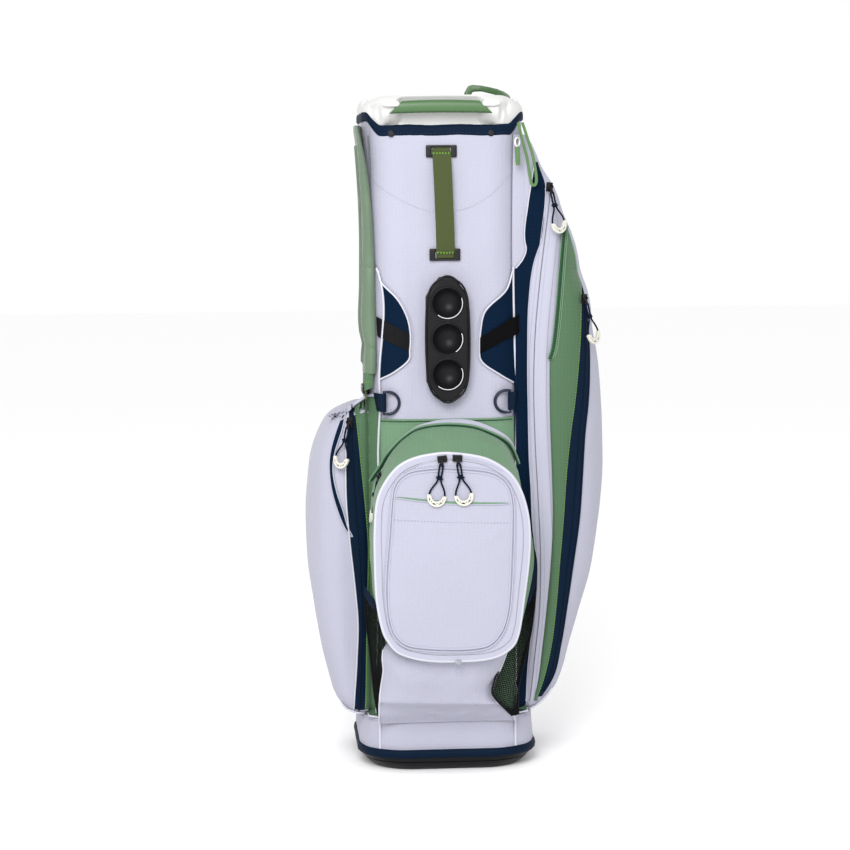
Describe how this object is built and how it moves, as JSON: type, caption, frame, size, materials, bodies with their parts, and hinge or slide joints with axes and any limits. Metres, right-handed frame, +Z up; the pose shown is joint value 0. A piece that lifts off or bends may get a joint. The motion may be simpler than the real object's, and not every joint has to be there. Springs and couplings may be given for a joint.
{
  "type": "golf cart bag",
  "caption": "Upright golf cart bag with full-length dividers, moulded handled collar, ball silo, zipped side pockets and a fold-down front pocket.",
  "frame": {"origin": "centre of the base's ground face", "axes": "+Z up along the bag, -Y out of the front where the ball silo and ball pocket are, +X to the bag's right as seen from the front"},
  "size_m": [0.415, 0.334, 0.9435],
  "materials": {
    "white_fabric": "ripstop weave",
    "green_fabric": "ripstop weave",
    "navy_fabric": "plain weave",
    "white_tape": "coated zip tape",
    "navy_tape": "zip tape",
    "black_mesh": "open hexagonal net",
    "collar_plastic": "fine moulded texture",
    "green_rubber": "satin moulded",
    "black_rubber": "satin moulded",
    "black_plastic": "satin moulded",
    "olive_webbing": "ribbed webbing",
    "black_webbing": "ribbed webbing",
    "green_webbing": "ribbed webbing",
    "white_plastic": "smooth",
    "navy_plastic": "smooth",
    "strap_foam": "moulded foam under stretch fabric",
    "grid_plastic": "padded fabric over moulding",
    "stay_metal": "drawn",
    "slider_metal": "black lacquer",
    "pull_plastic": "moulded",
    "cord_navy": "braided"
  },
  "bodies": {
    "root": {"accessory_loop": "green_webbing", "back_panel": "white_fabric", "ball_pocket": "green_fabric", "ball_silo": "black_rubber", "base_binding": "navy_fabric", "base_foot": "black_rubber", "base_skirt": "white_fabric", "cart_strap": "black_webbing", "d_ring_tabs": "navy_fabric", "divider_grid": "grid_plastic", "divider_sheets": "navy_fabric", "front_grip": "green_rubber", "front_panel": "white_fabric", "front_pocket_foot": "white_fabric", "front_pocket_frame": "green_fabric", "left_gusset": "green_fabric", "left_mesh_pocket": "black_mesh", "left_panel": "white_fabric", "left_pocket": "white_fabric", "lift_handle_loops": "black_plastic", "lift_handle_strap": "olive_webbing", "rear_handle": "green_rubber", "right_accessory_pocket": "green_fabric", "right_apparel_pocket": "white_fabric", "right_gusset": "navy_fabric", "right_mesh_pocket": "black_mesh", "right_panel": "white_fabric", "right_rear_pocket": "white_fabric", "side_zip_tapes": "navy_tape", "snap_studs": "black_plastic", "stays": "stay_metal", "strap_keeper": "black_webbing", "strap_pad": "strap_foam", "strap_webbing": "olive_webbing", "top_binding": "navy_fabric", "top_collar": "collar_plastic"},
    "front_door": {"front_pocket_door": "white_fabric", "front_zip_tape": "white_tape"},
    "slider_front_left": {"front_left_slider": "slider_metal"},
    "pull_front_left": {"front_left_pull": "pull_plastic", "front_left_pull_cord": "cord_navy"},
    "slider_front_right": {"front_right_slider": "slider_metal"},
    "pull_front_right": {"front_right_pull": "pull_plastic", "front_right_pull_cord": "cord_navy"},
    "slider_ball_pocket": {"ball_pocket_slider": "slider_metal"},
    "pull_ball_pocket": {"ball_pocket_pull": "pull_plastic", "ball_pocket_pull_cord": "cord_navy"},
    "slider_left_pocket": {"left_pocket_slider": "slider_metal"},
    "pull_left_pocket": {"left_pocket_pull": "pull_plastic", "left_pocket_pull_cord": "cord_navy"},
    "slider_apparel": {"apparel_slider": "slider_metal"},
    "pull_apparel": {"apparel_pull": "pull_plastic", "apparel_pull_cord": "cord_navy"},
    "slider_accessory": {"accessory_slider": "slider_metal"},
    "pull_accessory": {"accessory_pull": "pull_plastic", "accessory_pull_cord": "cord_navy"},
    "left_d_ring_body": {"left_d_ring": "navy_plastic"},
    "right_d_ring_body": {"right_d_ring": "navy_plastic"},
    "accessory_ring_body": {"accessory_ring": "white_plastic"},
    "strap_buckle": {"strap_adjuster": "black_plastic"}
  },
  "joints": [
    {"name": "front_door_hinge", "type": "hinge", "parent": "root", "child": "front_door", "pos_m": [0, -0.19, 0.171], "axis": [1, 0, 0], "range_deg": [0, 82]},
    {"name": "front_left_zip", "type": "hinge", "parent": "front_door", "child": "slider_front_left", "pos_m": [0, -0.203, 0.315], "axis": [0, 1, 0], "range_deg": [-20, 2]},
    {"name": "front_left_pull_swing", "type": "hinge", "parent": "slider_front_left", "child": "pull_front_left", "pos_m": [-0.01438, -0.2078, 0.44118], "axis": [-0.9877, 0, 0.1564], "range_deg": [0, 90]},
    {"name": "front_right_zip", "type": "hinge", "parent": "front_door", "child": "slider_front_right", "pos_m": [0, -0.203, 0.315], "axis": [0, 1, 0], "range_deg": [-2, 24]},
    {"name": "front_right_pull_swing", "type": "hinge", "parent": "slider_front_right", "child": "pull_front_right", "pos_m": [0.00576, -0.2078, 0.44187], "axis": [-0.9877, 0, -0.1564], "range_deg": [0, 90]},
    {"name": "ball_pocket_zip", "type": "slide", "parent": "root", "child": "slider_ball_pocket", "axis": [0, 0, 1], "range_m": [0, 0.03]},
    {"name": "ball_pocket_pull_swing", "type": "hinge", "parent": "slider_ball_pocket", "child": "pull_ball_pocket", "pos_m": [-0.097, -0.144, 0.412], "axis": [0.0109, 0.9976, 0.0689], "range_deg": [0, 90]},
    {"name": "left_pocket_zip", "type": "slide", "parent": "root", "child": "slider_left_pocket", "axis": [0.0199, 0, -0.9998], "range_m": [0, 0.36]},
    {"name": "left_pocket_pull_swing", "type": "hinge", "parent": "slider_left_pocket", "child": "pull_left_pocket", "pos_m": [-0.1336, -0.10808, 0.482], "axis": [-0.7213, 0.6788, 0.1375], "range_deg": [0, 90]},
    {"name": "apparel_zip", "type": "slide", "parent": "root", "child": "slider_apparel", "axis": [-0.1278, -0.012, -0.9917], "range_m": [0, 0.17]},
    {"name": "apparel_pull_swing", "type": "hinge", "parent": "slider_apparel", "child": "pull_apparel", "pos_m": [0.1425, -0.11279, 0.797], "axis": [-0.8219, -0.5371, -0.1898], "range_deg": [0, 90]},
    {"name": "accessory_zip", "type": "slide", "parent": "root", "child": "slider_accessory", "axis": [-0.0904, -0.0422, -0.995], "range_m": [0, 0.43]},
    {"name": "accessory_pull_swing", "type": "hinge", "parent": "slider_accessory", "child": "pull_accessory", "pos_m": [0.19298, -0.08966, 0.645], "axis": [-0.7124, -0.6707, -0.2068], "range_deg": [0, 90]},
    {"name": "left_d_ring_hinge", "type": "hinge", "parent": "root", "child": "left_d_ring_body", "pos_m": [-0.086, -0.1166, 0.509], "axis": [0, 0, 1], "range_deg": [-140, 0]},
    {"name": "right_d_ring_hinge", "type": "hinge", "parent": "root", "child": "right_d_ring_body", "pos_m": [0.086, -0.1166, 0.509], "axis": [0, 0, 1], "range_deg": [0, 140]},
    {"name": "accessory_ring_swing", "type": "hinge", "parent": "root", "child": "accessory_ring_body", "pos_m": [0.097, -0.116, 0.8606], "axis": [0, 1, 0], "range_deg": [-40, 40]},
    {"name": "strap_adjuster_slide", "type": "slide", "parent": "root", "child": "strap_buckle", "axis": [0, 0, 1], "range_m": [-0.006, 0.012]}
  ]
}
